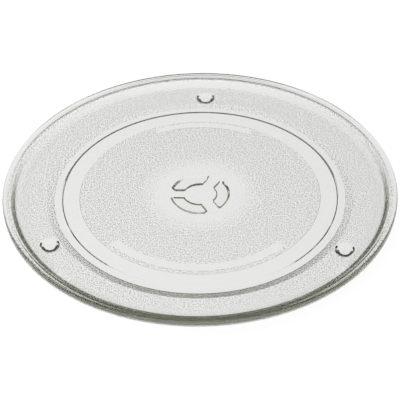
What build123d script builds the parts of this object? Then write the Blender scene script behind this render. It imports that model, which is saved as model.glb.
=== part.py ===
"""Turntable plate of a microwave oven: one pressed piece of clear glass, right side up.

Z is the plate's axis. The flats of the three feet, its lowest points, lie on z = 0.
Sizes are in millimetres and angles in degrees.
"""

import os
from math import hypot, radians, tan

from build123d import *

# The plate
plate_diameter = 410.0
glass_thickness = 6.4

# The rim, worked inwards from the outer edge
lip_width = 5.8
lip_thickness = 6.4
lip_top_chamfer = 1.5
lip_low_chamfer = 0.7
rim_rise = 9.5
rim_slope_run = 17.3
rim_sweep_radius = 24.0
rim_wall_inset = 6.6
rim_wall_run = 6.9
rim_heel_radius = 10.0

# The ridge under the plate that keeps the oven's roller ring centred, and the track inside it
land_width = 31.7
ridge_height = 2.0
ridge_outer_run = 8.1
ridge_flat_width = 5.8
ridge_wall_angle = 46.0
track_width = 17.8
track_recess = 0.3

# The feet that the plate stands on outside the oven, on the land between ridge and rim
foot_count = 3
foot_from_ridge = 11.2
foot_height = 4.5
foot_base_diameter = 20.6
foot_flat_diameter = 13.2
foot_edge_chamfer = 0.6

# The lugs that the three spokes of the oven's drive hub turn, with one spoke in each slot
lug_count = 3
lug_inner_radius = 17.0
lug_outer_radius = 31.5
lug_height = 4.0
lug_slot_width = 12.9
lug_wall_draft = 12.0
lug_outer_draft = 30.0
lug_corner_radius = 2.2
lug_edge_radius = 0.5
lug_root = 1.0

# Levels: the underside carries the feet, the lugs and the ridge
underside = foot_height
top_face = underside + glass_thickness
lip_top = top_face + rim_rise
lip_underside = lip_top - lip_thickness
track_face = underside + track_recess
ridge_bottom = underside - ridge_height

# Radii, from the outer edge to the centre
plate_radius = plate_diameter / 2
lip_inner_radius = plate_radius - lip_width
slope_start_radius = lip_inner_radius - rim_slope_run
wall_top_radius = plate_radius - rim_wall_inset
land_outer_radius = wall_top_radius - rim_wall_run
ridge_outer_radius = land_outer_radius - land_width
ridge_flat_outer_radius = ridge_outer_radius - ridge_outer_run
ridge_flat_inner_radius = ridge_flat_outer_radius - ridge_flat_width
track_outer_radius = ridge_flat_inner_radius - (track_face - ridge_bottom) / tan(radians(ridge_wall_angle))
track_inner_radius = track_outer_radius - track_width
foot_circle_radius = ridge_outer_radius + foot_from_ridge


def plate_body():
    """The dished plate with its rim and ridge: one section turned about the axis.

    Each point of the section has the radius that rounds it. The dish sweeps up to a flat lip, and
    the wall under the lip comes down to a rounded heel, where the glass is thickest.
    """
    section = [
        (0, top_face, 0),
        (slope_start_radius, top_face, rim_sweep_radius),
        (lip_inner_radius, lip_top, 0),
        (plate_radius - lip_top_chamfer, lip_top, 0),
        (plate_radius, lip_top - lip_top_chamfer, 0),
        (plate_radius, lip_underside + lip_low_chamfer, 0),
        (plate_radius - lip_low_chamfer, lip_underside, 0),
        (wall_top_radius, lip_underside, 0),
        (land_outer_radius, underside, rim_heel_radius),
        (ridge_outer_radius, underside, 0),
        (ridge_flat_outer_radius, ridge_bottom, 0),
        (ridge_flat_inner_radius, ridge_bottom, 0),
        (track_outer_radius, track_face, 0),
        (track_inner_radius, track_face, 0),
        (track_inner_radius - track_recess, underside, 0),
        (0, underside, 0),
    ]
    with BuildPart() as body:
        with BuildSketch(Plane.XZ):
            with BuildLine():
                FilletPolyline(
                    *[(radius, height) for radius, height, _ in section],
                    radius=[rounding for *_, rounding in section],
                    close=True,
                )
            make_face()
        revolve(axis=Axis.Z)
    return body.part


def feet():
    """Tapered round feet, evenly spaced on the land, the first one at the back."""
    with BuildPart() as foot:
        Cone(
            bottom_radius=foot_flat_diameter / 2,
            top_radius=foot_base_diameter / 2,
            height=foot_height,
            align=(Align.CENTER, Align.CENTER, Align.MIN),
        )
        chamfer(foot.edges().sort_by(Axis.Z)[0], foot_edge_chamfer)
    return [place * foot.part for place in PolarLocations(foot_circle_radius, foot_count, start_angle=90)]


def lugs():
    """A ring of curved drive lugs, cut by parallel-sided slots, the first slot at the left.

    The working walls are steep and the outer wall leans back, so that the mould lets go. Sizes hold
    at the underside, and the ring is rooted a little way into the glass.
    """
    root = underside + lug_root
    bottom = underside - lug_height
    wall_lean = tan(radians(lug_wall_draft))
    outer_lean = tan(radians(lug_outer_draft))
    middle_radius = (lug_inner_radius + lug_outer_radius) / 2
    with BuildPart() as ring:
        with BuildSketch(Plane.XZ):
            with BuildLine():
                Polyline(
                    (lug_inner_radius - lug_root * wall_lean, root),
                    (lug_inner_radius + lug_height * wall_lean, bottom),
                    (lug_outer_radius - lug_height * outer_lean, bottom),
                    (lug_outer_radius + lug_root * outer_lean, root),
                    close=True,
                )
            make_face()
        revolve(axis=Axis.Z)
        with BuildSketch(Plane.XY.offset(root)):
            with PolarLocations(lug_outer_radius, lug_count, start_angle=180):
                Rectangle(2 * lug_outer_radius, lug_slot_width - 2 * lug_root * wall_lean)
        extrude(amount=bottom - root, taper=-lug_wall_draft, mode=Mode.SUBTRACT)
        uprights = ring.edges().filter_by(lambda edge: edge.bounding_box().size.Z > lug_height / 2)
        outer_corners = uprights.filter_by(lambda edge: hypot(edge.center().X, edge.center().Y) > middle_radius)
        fillet(outer_corners, lug_corner_radius)
        fillet(ring.faces().group_by(Axis.Z)[0].edges(), lug_edge_radius)
    return ring.part


turntable_plate = plate_body() + feet() + lugs()
os.makedirs("parts", exist_ok=True)
export_step(turntable_plate, "parts/turntable_plate.step")
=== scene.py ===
"""Turntable plate of a microwave oven in clear pressed glass, lying right side up on a white table.

Sizes are in millimetres and angles in degrees, and MM takes a size to Blender's metres.
"""

from math import atan2, ceil, cos, hypot, pi, radians, sin, sqrt, tan

import bmesh
import bpy
from mathutils import Matrix, Vector


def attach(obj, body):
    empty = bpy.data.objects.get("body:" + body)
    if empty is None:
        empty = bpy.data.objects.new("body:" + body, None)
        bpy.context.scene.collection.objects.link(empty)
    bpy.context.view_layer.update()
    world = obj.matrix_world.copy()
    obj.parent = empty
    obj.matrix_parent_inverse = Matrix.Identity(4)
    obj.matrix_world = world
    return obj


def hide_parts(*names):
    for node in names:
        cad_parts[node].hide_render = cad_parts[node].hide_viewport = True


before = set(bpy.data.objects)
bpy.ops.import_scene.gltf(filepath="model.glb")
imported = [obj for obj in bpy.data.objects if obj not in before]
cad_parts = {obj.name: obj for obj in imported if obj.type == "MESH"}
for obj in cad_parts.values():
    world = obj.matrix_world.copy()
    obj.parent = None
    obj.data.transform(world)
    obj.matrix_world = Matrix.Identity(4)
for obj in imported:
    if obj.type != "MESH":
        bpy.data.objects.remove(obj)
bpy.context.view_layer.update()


# The dish: the body of the plate, pressed from one gob of clear soda-lime glass. It is a turned form, a flat
# disc that sweeps up to a lip, with a wall and a thick heel under the lip. The low ridge underneath keeps the
# oven's roller ring centred, and the ring's wheels run on the smooth track inside it.
MM = 0.001
plate_radius = 205.0
plate_segments = 360
glass_thickness = 6.4
underside = 4.5
top_face = underside + glass_thickness
slope_start_radius = 181.9
slope_start_rounding = 8.0
lip_rise = 9.5
lip_top = top_face + lip_rise
lip_inner_radius = 199.2
lip_inner_rounding = 0.9
lip_top_rounding = 2.7
lip_thickness = 7.2
lip_edge_rounding = 0.8
lip_ledge_fall = 0.7
lip_root_radius = 198.4
lip_root_rounding = 1.3
heel_radius = 193.2
heel_rise = 1.4
heel_rounding = 11.0
heel_start_radius = 186.5
heel_start_rounding = 32.0
ridge_height = 2.0
ridge_bottom = underside - ridge_height
ridge_outer_radius = 159.8
ridge_outer_rounding = 1.5
ridge_flat_outer_radius = 151.7
ridge_flat_inner_radius = 145.65
ridge_inner_rounding = 0.4
ridge_shoulder_radius = 143.95
ridge_shoulder_rise = 0.62
track_recess = 0.3
track_face = underside + track_recess
track_outer_radius = 142.9
track_outer_rounding = 0.3
track_inner_radius = 125.88
track_inner_rounding = 0.15

# Each arc of a section is cut into even steps, and takes a little less than half of the runs beside it
arc_step = 6.0
arc_step_slack = 0.001
fewest_arc_steps = 2
arc_share_of_run = 0.49


def rounded_outline(corners):
    """Points along straight runs between corners (x, y, rounding), with an arc at each rounded corner."""
    points = [corners[0][:2]]
    for (x0, y0, _), (x1, y1, rounding), (x2, y2, _) in zip(corners, corners[1:], corners[2:]):
        if rounding == 0:
            points.append((x1, y1))
            continue
        back = atan2(y0 - y1, x0 - x1)
        opening = (atan2(y2 - y1, x2 - x1) - back + pi) % (2 * pi) - pi
        half = abs(opening) / 2
        room = arc_share_of_run * min(hypot(x0 - x1, y0 - y1), hypot(x2 - x1, y2 - y1))
        reach = min(rounding / tan(half), room)
        radius = reach * tan(half)
        centre_x = x1 + radius / sin(half) * cos(back + opening / 2)
        centre_y = y1 + radius / sin(half) * sin(back + opening / 2)
        first = atan2(y1 + reach * sin(back) - centre_y, x1 + reach * cos(back) - centre_x)
        end = back + opening
        last = atan2(y1 + reach * sin(end) - centre_y, x1 + reach * cos(end) - centre_x)
        sweep = (last - first + pi) % (2 * pi) - pi
        count = max(fewest_arc_steps, ceil(abs(sweep) / radians(arc_step) - arc_step_slack))
        for i in range(count + 1):
            angle = first + sweep * i / count
            points.append((centre_x + radius * cos(angle), centre_y + radius * sin(angle)))
    points.append(corners[-1][:2])
    return points


class Wire:
    """A socket in a node tree. Arithmetic on it adds Math nodes, and node() adds any other node."""

    def __init__(self, tree, socket=None):
        self.tree = tree
        self.socket = socket

    def node(self, kind, settings, inputs, output=0):
        """Adds a node, with its settings and the values or links of its inputs, and gives one output."""
        added = self.tree.nodes.new(kind)
        for name, value in settings.items():
            setattr(added, name, value)
        for key, value in inputs.items():
            for single in value if isinstance(value, list) else [value]:
                if isinstance(single, Wire):
                    self.tree.links.new(single.socket, added.inputs[key])
                else:
                    added.inputs[key].default_value = single
        return Wire(self.tree, added.outputs[output] if added.outputs else None)

    def math(self, operation, *values):
        return self.node("ShaderNodeMath", {"operation": operation}, dict(enumerate(values)))

    def parts(self):
        """The X, Y and Z of a vector."""
        split = self.node("ShaderNodeSeparateXYZ", {}, {"Vector": self}).socket.node
        return [Wire(self.tree, socket) for socket in split.outputs]

    def clamped(self, low=0.0, high=1.0):
        return self.math("MINIMUM", self.math("MAXIMUM", self, low), high)

    def __add__(self, other):
        return self.math("ADD", self, other)

    def __radd__(self, other):
        return self.math("ADD", other, self)

    def __sub__(self, other):
        return self.math("SUBTRACT", self, other)

    def __rsub__(self, other):
        return self.math("SUBTRACT", other, self)

    def __mul__(self, other):
        return self.math("MULTIPLY", self, other)

    def __rmul__(self, other):
        return self.math("MULTIPLY", other, self)

    def __truediv__(self, other):
        return self.math("DIVIDE", self, other)


def new_geometry_tree(name, sizes):
    """A Geometry Nodes tree for a geometry and the named sizes: a Wire to build on, and its inputs."""
    tree = bpy.data.node_groups.new(name, "GeometryNodeTree")
    tree.interface.new_socket("Geometry", in_out="OUTPUT", socket_type="NodeSocketGeometry")
    tree.interface.new_socket("Geometry", in_out="INPUT", socket_type="NodeSocketGeometry")
    for size, kind in sizes.items():
        tree.interface.new_socket(size, in_out="INPUT", socket_type=kind)
    start = Wire(tree)
    group_in = start.node("NodeGroupInput", {}, {}).socket.node
    return start, {socket.name: Wire(tree, socket) for socket in group_in.outputs if socket.name}


def placed(name, data):
    """A new object in the scene."""
    thing = bpy.data.objects.new(name, data)
    bpy.context.scene.collection.objects.link(thing)
    return thing


def shaped(tree, name, mesh, values):
    """An object with the plain mesh that a tree makes from a starting mesh, with its named inputs set."""
    piece = placed(name, mesh)
    modifier = piece.modifiers.new(name, "NODES")
    modifier.node_group = tree
    for item in tree.interface.items_tree:
        if item.in_out == "INPUT" and item.name in values:
            modifier[item.identifier] = values[item.name]
    made = bpy.data.meshes.new_from_object(piece.evaluated_get(bpy.context.evaluated_depsgraph_get()))
    made.name = name
    piece.modifiers.clear()
    piece.data = made
    return piece


# Turning: the section's points, from the axis on top to the axis underneath, are swept once round the axis
seam_gap = 0.001
turn, given = new_geometry_tree(
    "turned about the axis",
    {"Segments": "NodeSocketInt", "Glass": "NodeSocketMaterial"},
)
section_count = turn.node(
    "GeometryNodeAttributeDomainSize",
    {},
    {"Geometry": given["Geometry"]},
    "Point Count",
)
copies = given["Segments"] + 1
lattice = turn.node("GeometryNodeMeshGrid", {}, {"Vertices X": section_count, "Vertices Y": copies})
number = turn.node("GeometryNodeInputIndex", {}, {})
step_along = turn.math("FLOOR", (number + 0.5) / copies)
step_round = number - step_along * copies
turn_angle = step_round / given["Segments"] * (2 * pi)
section_point = turn.node(
    "GeometryNodeSampleIndex",
    {"data_type": "FLOAT_VECTOR", "domain": "POINT"},
    {
        "Geometry": given["Geometry"],
        "Value": turn.node("GeometryNodeInputPosition", {}, {}),
        "Index": step_along,
    },
)
out_from_axis, _, level = section_point.parts()
turned_point = turn.node(
    "ShaderNodeCombineXYZ",
    {},
    {
        "X": out_from_axis * turn.math("COSINE", turn_angle),
        "Y": out_from_axis * turn.math("SINE", turn_angle),
        "Z": level,
    },
)
swept = turn.node("GeometryNodeSetPosition", {}, {"Geometry": lattice, "Position": turned_point})
closed = turn.node("GeometryNodeMergeByDistance", {}, {"Geometry": swept, "Distance": seam_gap * MM})
outward = turn.node("GeometryNodeFlipFaces", {}, {"Mesh": closed})
realized = turn.node("GeometryNodeRealizeInstances", {}, {"Geometry": outward})
finished = turn.node("GeometryNodeSetMaterial", {}, {"Geometry": realized, "Material": given["Glass"]})
turn.node("NodeGroupOutput", {}, {0: finished})

clear_glass = bpy.data.materials.new("clear pressed glass")


def turned(name, corners, segments):
    """A closed solid turned from the section through corners (radius, height, rounding)."""
    points = rounded_outline(corners)
    section = bpy.data.meshes.new(name + " section")
    section.from_pydata(
        [(radius * MM, 0, height * MM) for radius, height in points],
        [(i, i + 1) for i in range(len(points) - 1)],
        [],
    )
    return shaped(turn.tree, name, section, {"Segments": segments, "Glass": clear_glass})


dish = turned(
    "dish",
    [
        (0, top_face, 0),
        (slope_start_radius, top_face, slope_start_rounding),
        (lip_inner_radius, lip_top, lip_inner_rounding),
        (plate_radius, lip_top, lip_top_rounding),
        (plate_radius, lip_top - lip_thickness, lip_edge_rounding),
        (lip_root_radius, lip_top - lip_thickness - lip_ledge_fall, lip_root_rounding),
        (heel_radius, underside + heel_rise, heel_rounding),
        (heel_start_radius, underside, heel_start_rounding),
        (ridge_outer_radius, underside, ridge_outer_rounding),
        (ridge_flat_outer_radius, ridge_bottom, ridge_outer_rounding),
        (ridge_flat_inner_radius, ridge_bottom, ridge_inner_rounding),
        (ridge_shoulder_radius, ridge_bottom + ridge_shoulder_rise, ridge_inner_rounding),
        (track_outer_radius, track_face, track_outer_rounding),
        (track_inner_radius, track_face, track_inner_rounding),
        (track_inner_radius - track_recess, underside, track_inner_rounding),
        (0, underside, 0),
    ],
    plate_segments,
)


# The feet: three round bosses on the land between ridge and rim, pressed with the dish from the same glass.
# The plate stands on their flats outside the oven, and their soft taper lets them out of the mould.
foot_count = 3
first_foot_direction = 90.0
foot_circle_radius = 171.0
foot_base_radius = 10.3
foot_flare_radius = 8.5
foot_flare_depth = 2.3
foot_flare_rounding = 2.0
foot_flat_radius = 5.2
foot_edge_rounding = 2.5
foot_segments = 96
foot_lean = (foot_base_radius - foot_flare_radius) / foot_flare_depth
glass_root = 1.0
root_level = underside + glass_root
foot = turned(
    "foot",
    [
        (0, root_level, 0),
        (foot_base_radius + glass_root * foot_lean, root_level, 0),
        (foot_flare_radius, underside - foot_flare_depth, foot_flare_rounding),
        (foot_flat_radius, 0, foot_edge_rounding),
        (0, 0, 0),
    ],
    foot_segments,
)


# The drive lugs: three curved blocks round the middle of the underside, pressed with the dish from the same
# glass. One spoke of the oven's drive hub lies in each slot between them. The working walls are steep, and
# the outer wall leans back further, so that the mould lets go.
lug_count = 3
lug_inner_radius = 17.0
lug_outer_radius = 31.5
lug_height = 4.0
lug_slot_width = 12.9
lug_wall_draft = 12.0
lug_outer_draft = 30.0
lug_inner_corner = 0.8
lug_outer_corner = 2.2
lug_corner_steps = 8
lug_arc_steps = 40
lug_edge_rounding = 0.8
lug_edge_steps = 5


def lug_outline(inner, outer, half_slot):
    """One lug seen along the axis: two arcs, and walls along the slots beside it, with rounded corners."""
    half_turn = pi / lug_count
    wall = Vector((cos(half_turn), -sin(half_turn)))
    inwards = Vector((sin(half_turn), cos(half_turn)))

    def corner(radius, rounding, sign):
        aside = half_slot + rounding
        return wall * sqrt((radius + sign * rounding) ** 2 - aside ** 2) + inwards * aside

    def arc(centre, radius, first, last, count):
        sweep = (last - first + pi) % (2 * pi) - pi
        angles = [first + sweep * i / count for i in range(count + 1)]
        return [(centre[0] + radius * cos(a), centre[1] + radius * sin(a)) for a in angles]

    outer_centre = corner(outer, lug_outer_corner, -1)
    inner_centre = corner(inner, lug_inner_corner, 1)
    to_wall = atan2(-inwards.y, -inwards.x)
    outer_angle = atan2(outer_centre.y, outer_centre.x)
    inner_angle = atan2(inner_centre.y, inner_centre.x)
    side = arc(inner_centre, lug_inner_corner, inner_angle + pi, to_wall, lug_corner_steps)
    side += arc(outer_centre, lug_outer_corner, to_wall, outer_angle, lug_corner_steps)
    other_side = [(x, -y) for x, y in reversed(side)]
    outer_arc = arc((0, 0), outer, outer_angle, -outer_angle, lug_arc_steps)[1:-1]
    inner_arc = arc((0, 0), inner, -inner_angle, inner_angle, lug_arc_steps)[1:-1]
    return side + outer_arc + other_side + inner_arc


lug_bottom = underside - lug_height
lug_levels = [(root_level, 0.0)]
for i in range(lug_edge_steps + 1):
    swing = pi / 2 * i / lug_edge_steps
    rise = lug_edge_rounding * (1 - sin(swing))
    inset = lug_edge_rounding * (1 - cos(swing))
    lug_levels.append((lug_bottom + rise, inset))
lug_form = bmesh.new()
rings = []
for height, inset in lug_levels:
    depth = underside - height
    wall_in = depth * tan(radians(lug_wall_draft)) + inset
    outer_in = depth * tan(radians(lug_outer_draft)) + inset
    half_slot = lug_slot_width / 2 + wall_in
    outline = lug_outline(lug_inner_radius + wall_in, lug_outer_radius - outer_in, half_slot)
    rings.append([lug_form.verts.new((x * MM, y * MM, height * MM)) for x, y in outline])
for upper, lower in zip(rings, rings[1:]):
    for i in range(len(upper)):
        j = (i + 1) % len(upper)
        lug_form.faces.new((upper[i], upper[j], lower[j], lower[i]))
lug_form.faces.new(rings[0])
lug_form.faces.new(rings[-1])
bmesh.ops.recalc_face_normals(lug_form, faces=lug_form.faces)
lug_mesh = bpy.data.meshes.new("lug")
lug_form.to_mesh(lug_mesh)
lug_form.free()
lug = placed("lug", lug_mesh)


# The glass: clear, with a breath of green that shows where light runs a long way through it. The mould
# stipples the underside with a fine grain and small round pits, more faintly round the lugs, and leaves the
# roller track, the feet and two arc-shaped panels smooth.
glass_ior = 1.52
glass_tint = (0.64, 0.67, 0.45, 1.0)
glass_tint_density = 11.0
glass_tone = 0.925
# Painted shade: on the stipple, but not on the wall, the glass's colour is painted darker in the pits, most
# on the ridge, for the light that the dimples scatter and turn back, and a little lighter between them
painted_lift_between_pits = 0.075
stipple_roughness = 0.28
stipple_outer_radius = 201.5
stipple_fade = 0.8

# Scales count grains and pits to the metre, and a pit's radius and edge are shares of the pits' spacing
grain_scale = 560.0
grain_detail = 1.0
grain_roughness = 0.5
grain_depth = 0.19
pit_scale = 470.0
pit_randomness = 0.8
pit_radius = 0.29
pit_edge = 0.13
pit_depth = 0.16
painted_pit_shade = 0.41
painted_pit_shade_on_ridge = 0.49

# Where the stipple is fainter, smoother or left out
hub_smooth_radius = 42.0
hub_fade = 24.0
hub_stipple = 0.2
wall_inner_radius = 187.0
wall_fade = 2.0
wall_smoothing = 0.08
foot_margin = 0.2
downward_limit = -0.05

# A panel has a middle direction, a half width in degrees, and two radii, and its ends fade by cosine
back_panel = (90.0, 26.0, 114.6, 123.3)
front_panel = (270.5, 47.5, 110.0, 121.0)
panel_edge_fade = 0.6
panel_end_fade = 0.004


def fresh_nodes(owner):
    """A Wire to build on in the emptied node tree of a material or a world."""
    owner.use_nodes = True
    owner.node_tree.nodes.clear()
    return Wire(owner.node_tree)


shade = fresh_nodes(clear_glass)
place = shade.node("ShaderNodeTexCoord", {}, {}, "Object")
across, along, _ = place.parts()
from_axis = shade.math("SQRT", across * across + along * along)


def ring(inner, outer, fade):
    """1 between two radii, falling to 0 over the width fade inside each of them."""
    rise = (from_axis - inner * MM) / (fade * MM)
    fall = (outer * MM - from_axis) / (fade * MM)
    return shade.math("MINIMUM", rise, fall).clamped()


def panel(middle, spread, inner, outer):
    """1 on an arc-shaped panel."""
    facing = (across * cos(radians(middle)) + along * sin(radians(middle))) / from_axis
    between_ends = ((facing - cos(radians(spread))) / panel_end_fade).clamped()
    return between_ends * ring(inner, outer, panel_edge_fade)


inside_track = ((track_inner_radius * MM - from_axis) / (stipple_fade * MM)).clamped()
past_hub = ((from_axis - hub_smooth_radius * MM) / (hub_fade * MM)).clamped()
panels = shade.math("MAXIMUM", panel(*back_panel), panel(*front_panel))
on_disc = inside_track * (hub_stipple + (1 - hub_stipple) * past_hub) * (1 - panels)
nearest_foot = None
for i in range(foot_count):
    direction = radians(first_foot_direction + 360 * i / foot_count)
    foot_x = foot_circle_radius * cos(direction)
    foot_y = foot_circle_radius * sin(direction)
    foot_centre = (foot_x * MM, foot_y * MM, underside * MM)
    to_foot = shade.node(
        "ShaderNodeVectorMath",
        {"operation": "DISTANCE"},
        {0: place, 1: foot_centre},
        "Value",
    )
    nearest_foot = to_foot if nearest_foot is None else shade.math("MINIMUM", nearest_foot, to_foot)
off_feet = ((nearest_foot - (foot_base_radius + foot_margin) * MM) / (stipple_fade * MM)).clamped()
on_land = ring(ridge_flat_outer_radius, stipple_outer_radius, stipple_fade) * off_feet
on_ridge = ring(ridge_flat_outer_radius, ridge_outer_radius, stipple_fade)
on_wall = ring(wall_inner_radius, lip_root_radius, wall_fade)
_, _, normal_up = shade.node("ShaderNodeNewGeometry", {}, {}, "True Normal").parts()
seen_from_inside = shade.node("ShaderNodeNewGeometry", {}, {}, "Backfacing")
below = shade.math("LESS_THAN", normal_up * (1 - 2 * seen_from_inside), downward_limit)
stippled = shade.math("MAXIMUM", on_disc, on_land) * below
grains = shade.node(
    "ShaderNodeTexNoise",
    {},
    {"Vector": place, "Scale": grain_scale, "Detail": grain_detail, "Roughness": grain_roughness},
    "Fac",
)
to_pit = shade.node(
    "ShaderNodeTexVoronoi",
    {"voronoi_dimensions": "2D"},
    {"Vector": place, "Scale": pit_scale, "Randomness": pit_randomness},
    "Distance",
)
pits = ((pit_radius - to_pit) / pit_edge).clamped()
relief = (grains * grain_depth + pits * pit_depth) * stippled
dimples = shade.node("ShaderNodeBump", {}, {"Strength": 1.0, "Distance": MM, "Height": relief})
# The painted shade of the pits, stronger on the ridge
painted_pit_darkness = pits * (painted_pit_shade + painted_pit_shade_on_ridge * on_ridge)
# The base colour carries the painted shade of the pits and the painted lift between them
glass = shade.node(
    "ShaderNodeBsdfPrincipled",
    {},
    {
        "Base Color": glass_tone + stippled * (1 - on_wall) * (painted_lift_between_pits - painted_pit_darkness),
        "Transmission Weight": 1.0,
        "Roughness": stippled * (stipple_roughness - wall_smoothing * on_wall),
        "IOR": glass_ior,
        "Normal": dimples,
    },
)
depth_tint = shade.node(
    "ShaderNodeVolumeAbsorption",
    {},
    {"Color": glass_tint, "Density": glass_tint_density},
)
shade.node("ShaderNodeOutputMaterial", {}, {"Surface": glass, "Volume": depth_tint})


# The pressing: the mould makes dish, feet and lugs in one stroke, so the plate is a single closed piece of
# glass. One tree sets the feet and the lugs round the axis and joins them to the dish. The flats stay flat up
# to the rounded edges.
sharp_edge_angle = 30.0
press, given = new_geometry_tree(
    "pressed in one piece",
    {
        "Foot": "NodeSocketObject",
        "Foot Count": "NodeSocketInt",
        "Foot Circle": "NodeSocketFloat",
        "Lug": "NodeSocketObject",
        "Lug Count": "NodeSocketInt",
        "Glass": "NodeSocketMaterial",
    },
)
foot_places = press.node(
    "GeometryNodeMeshCircle",
    {},
    {"Vertices": given["Foot Count"], "Radius": given["Foot Circle"]},
)
foot_places = press.node(
    "GeometryNodeTransform",
    {},
    {"Geometry": foot_places, "Rotation": (0, 0, radians(first_foot_direction))},
)
one_foot = press.node("GeometryNodeObjectInfo", {}, {"Object": given["Foot"]}, "Geometry")
feet = press.node("GeometryNodeInstanceOnPoints", {}, {"Points": foot_places, "Instance": one_foot})
lug_places = press.node("GeometryNodePoints", {}, {"Count": given["Lug Count"]})
lug_turn = press.node("GeometryNodeInputIndex", {}, {}) / given["Lug Count"] * (2 * pi)
lug_turn = press.node("ShaderNodeCombineXYZ", {}, {"Z": lug_turn})
one_lug = press.node("GeometryNodeObjectInfo", {}, {"Object": given["Lug"]}, "Geometry")
lugs = press.node(
    "GeometryNodeInstanceOnPoints",
    {},
    {
        "Points": lug_places,
        "Instance": one_lug,
        "Rotation": press.node("FunctionNodeEulerToRotation", {}, {"Euler": lug_turn}),
    },
)
joined = press.node(
    "GeometryNodeMeshBoolean",
    {"operation": "UNION", "solver": "EXACT"},
    {1: [given["Geometry"], feet, lugs]},
)
realized = press.node("GeometryNodeRealizeInstances", {}, {"Geometry": joined})
finished = press.node("GeometryNodeSetMaterial", {}, {"Geometry": realized, "Material": given["Glass"]})
press.node("NodeGroupOutput", {}, {0: finished})
plate = shaped(
    press.tree,
    "plate",
    dish.data,
    {
        "Foot": foot,
        "Foot Count": foot_count,
        "Foot Circle": foot_circle_radius * MM,
        "Lug": lug,
        "Lug Count": lug_count,
        "Glass": clear_glass,
    },
)
for model in (dish, foot, lug):
    bpy.data.objects.remove(model)
for face in plate.data.polygons:
    face.use_smooth = True
plate.data.set_sharp_from_angle(angle=radians(sharp_edge_angle))
flats = plate.modifiers.new("true flats", "WEIGHTED_NORMAL")
flats.keep_sharp = True
flats.weight = 100
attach(plate, "root")
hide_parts("turntable_plate")


# The table: a sheet of white paper that the plate stands on, bright enough to read as pure white. It keeps
# the plate's soft shadow. Its glow falls a little from left to right by the fall given for each metre, which
# is painted light, as in a room lit from the left.
table_half_width = 6000.0
table_gap = 0.2
paper_colour = (0.86, 0.86, 0.86, 1.0)
glow_share = 0.96
glow_level = 1.03
painted_light_fall = 0.14
painted_light_fall_reach = 200.0
edge = table_half_width * MM
table_mesh = bpy.data.meshes.new("table")
table_mesh.from_pydata(
    [(-edge, -edge, 0), (edge, -edge, 0), (edge, edge, 0), (-edge, edge, 0)],
    [],
    [(0, 1, 2, 3)],
)
table = placed("table", table_mesh)
table.location.z = -table_gap * MM
white_sheet = bpy.data.materials.new("white sheet")
sheet = fresh_nodes(white_sheet)
sideways, _, _ = sheet.node("ShaderNodeTexCoord", {}, {}, "Object").parts()
# Painted light: the glow is brighter at the left, as in a room lit from there
brightness = glow_level - painted_light_fall * sideways.clamped(-painted_light_fall_reach * MM, painted_light_fall_reach * MM)
paper = sheet.node("ShaderNodeBsdfDiffuse", {}, {"Color": paper_colour})
glow = sheet.node("ShaderNodeEmission", {}, {"Color": brightness, "Strength": 1.0})
mixed = sheet.node("ShaderNodeMixShader", {}, {0: glow_share, 1: paper, 2: glow})
sheet.node("ShaderNodeOutputMaterial", {}, {"Surface": mixed})
table_mesh.materials.append(white_sheet)


# The light: one broad soft lamp over the table, in a room that is pale near the horizon, and dark overhead
# and behind the plate. The lines in the rim are this room, reflected many times inside the glass, so light
# may bounce more often than is usual. Directions in the room run from -1 to 1.
horizon_level = 0.75
back_horizon_level = 0.1
back_start, back_end = 0.2, 0.7
overhead_level = 0.05
overhead_start, overhead_end = 0.02, 0.25
lamp_power = 54
lamp_width = 2000.0
lamp_back = 100.0
lamp_height = 1800.0
most_bounces = 32
most_glass_bounces = 24
room = bpy.data.worlds.new("room")
bpy.context.scene.world = room
air = fresh_nodes(room)
_, look_back, look_up = air.node("ShaderNodeTexCoord", {}, {}, "Generated").parts()


def eased(value, start, end, before, after):
    """The level before up to start, which changes smoothly to the level after at end."""
    return air.node(
        "ShaderNodeMapRange",
        {"interpolation_type": "SMOOTHSTEP"},
        {"Value": value, "From Min": start, "From Max": end, "To Min": before, "To Max": after},
    )


horizon = eased(look_back, back_start, back_end, horizon_level, back_horizon_level)
room_level = eased(look_up, overhead_start, overhead_end, horizon, overhead_level)
background = air.node("ShaderNodeBackground", {}, {"Color": room_level, "Strength": 1.0})
air.node("ShaderNodeOutputWorld", {}, {"Surface": background})
softbox = bpy.data.lights.new("softbox", "AREA")
softbox.energy = lamp_power
softbox.size = lamp_width * MM
softbox_stand = placed("softbox", softbox)
softbox_stand.location = (0.0, lamp_back * MM, lamp_height * MM)
softbox_stand.visible_glossy = False
softbox_stand.visible_transmission = False
bpy.context.scene.cycles.max_bounces = most_bounces
bpy.context.scene.cycles.glossy_bounces = most_glass_bounces
bpy.context.scene.cycles.transmission_bounces = most_glass_bounces


# The camera: a long lens, a little right of the front and well above the plate. It is aimed a little before
# the axis, at the level where the underside shows through the glass. Focal length and shifts are in pixels.
picture_width = 400
focal_length = 1477.677
shift_right = -0.07
shift_up = 0.7
sensor_width = 36
view_turn = radians(2.718)
view_elevation = radians(39.25)
view_roll = radians(-0.918)
view_distance = 1547.0
aim_forward = -12.0
seen_depth_share = 0.484
seen_level = top_face - seen_depth_share * glass_thickness


def in_sight(beyond, height):
    """A point on the upright plane of the line of sight, from millimetres beyond the axis to metres."""
    return Vector((-beyond * sin(view_turn), beyond * cos(view_turn), height)) * MM


lens = bpy.data.cameras.new("camera")
lens.sensor_width = sensor_width
lens.lens = focal_length * sensor_width / picture_width
lens.shift_x = shift_right / picture_width
lens.shift_y = shift_up / picture_width
eye = in_sight(-view_distance * cos(view_elevation), view_distance * sin(view_elevation) + seen_level)
target = in_sight(aim_forward, seen_level)
forward = (target - eye).normalized()
level_right = forward.cross(Vector((0, 0, 1))).normalized()
level_up = level_right.cross(forward)
right = cos(view_roll) * level_right + sin(view_roll) * level_up
upward = cos(view_roll) * level_up - sin(view_roll) * level_right
camera = placed("camera", lens)
camera.matrix_world = Matrix.Translation(eye) @ Matrix((right, upward, -forward)).transposed().to_4x4()
bpy.context.scene.camera = camera
bpy.context.scene.view_settings.view_transform = "Standard"
